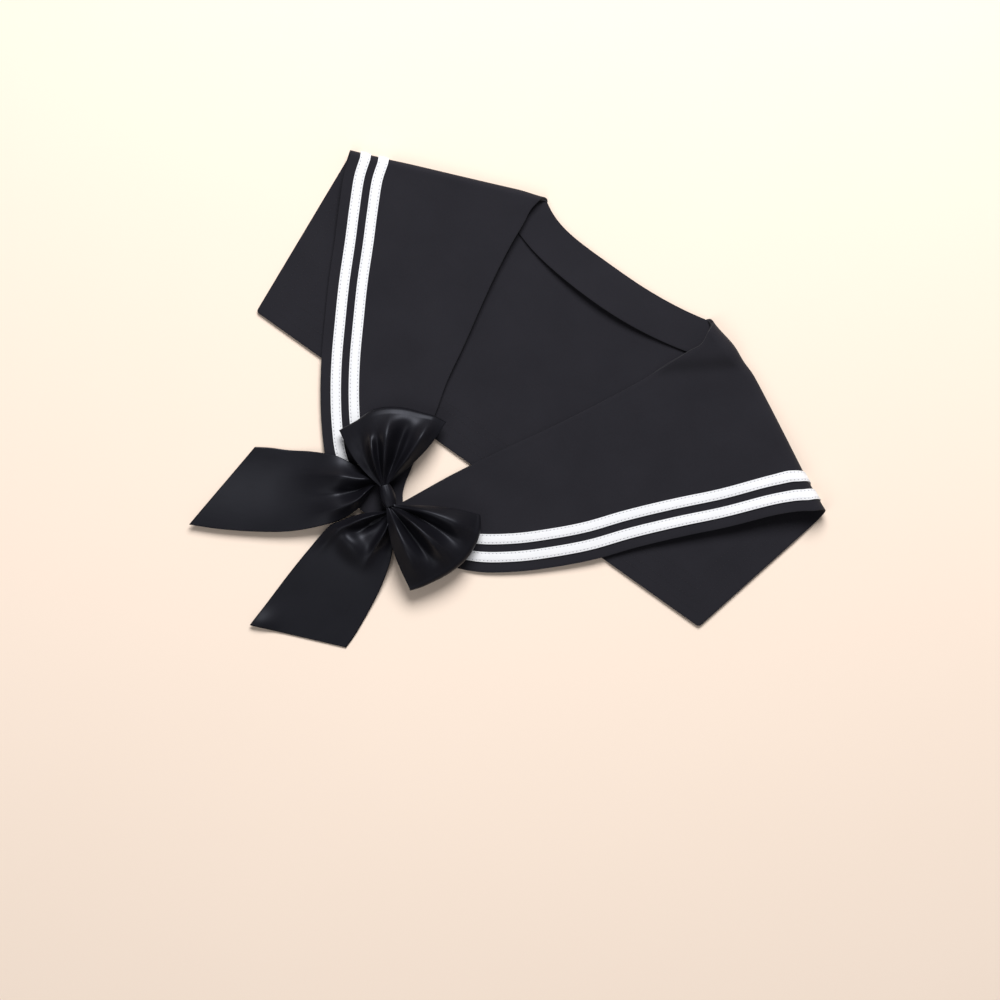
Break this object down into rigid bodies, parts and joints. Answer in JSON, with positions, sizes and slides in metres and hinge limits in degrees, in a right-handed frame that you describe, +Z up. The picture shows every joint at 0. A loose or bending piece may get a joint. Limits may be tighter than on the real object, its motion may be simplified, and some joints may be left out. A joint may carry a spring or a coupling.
{
  "type": "sailor collar with a satin bow",
  "caption": "Sailor collar lying folded: square back flap, two front lapels crossing at the tips, striped hem and a ready-tied satin bow.",
  "frame": {"origin": "middle of the whole outline seen from above, on the surface that it lies on", "axes": "+Z up from that surface, +X across the back flap towards the right-hand side seen from above, +Y from the flap's hem towards the neck"},
  "size_m": [0.4286, 0.3734, 0.0272],
  "materials": {
    "collar_cloth": "matt black twill",
    "tape": "matt white woven tape",
    "satin": "soft black satin",
    "clasp": "satin black paint"
  },
  "bodies": {
    "root": {"collar_cloth": "collar_cloth", "outer_tape": "tape", "inner_tape": "tape", "neck_band": "collar_cloth", "bow_loops": "satin", "bow_tails": "satin", "knot_band": "satin", "clasp_bar": "clasp"}
  },
  "joints": []
}
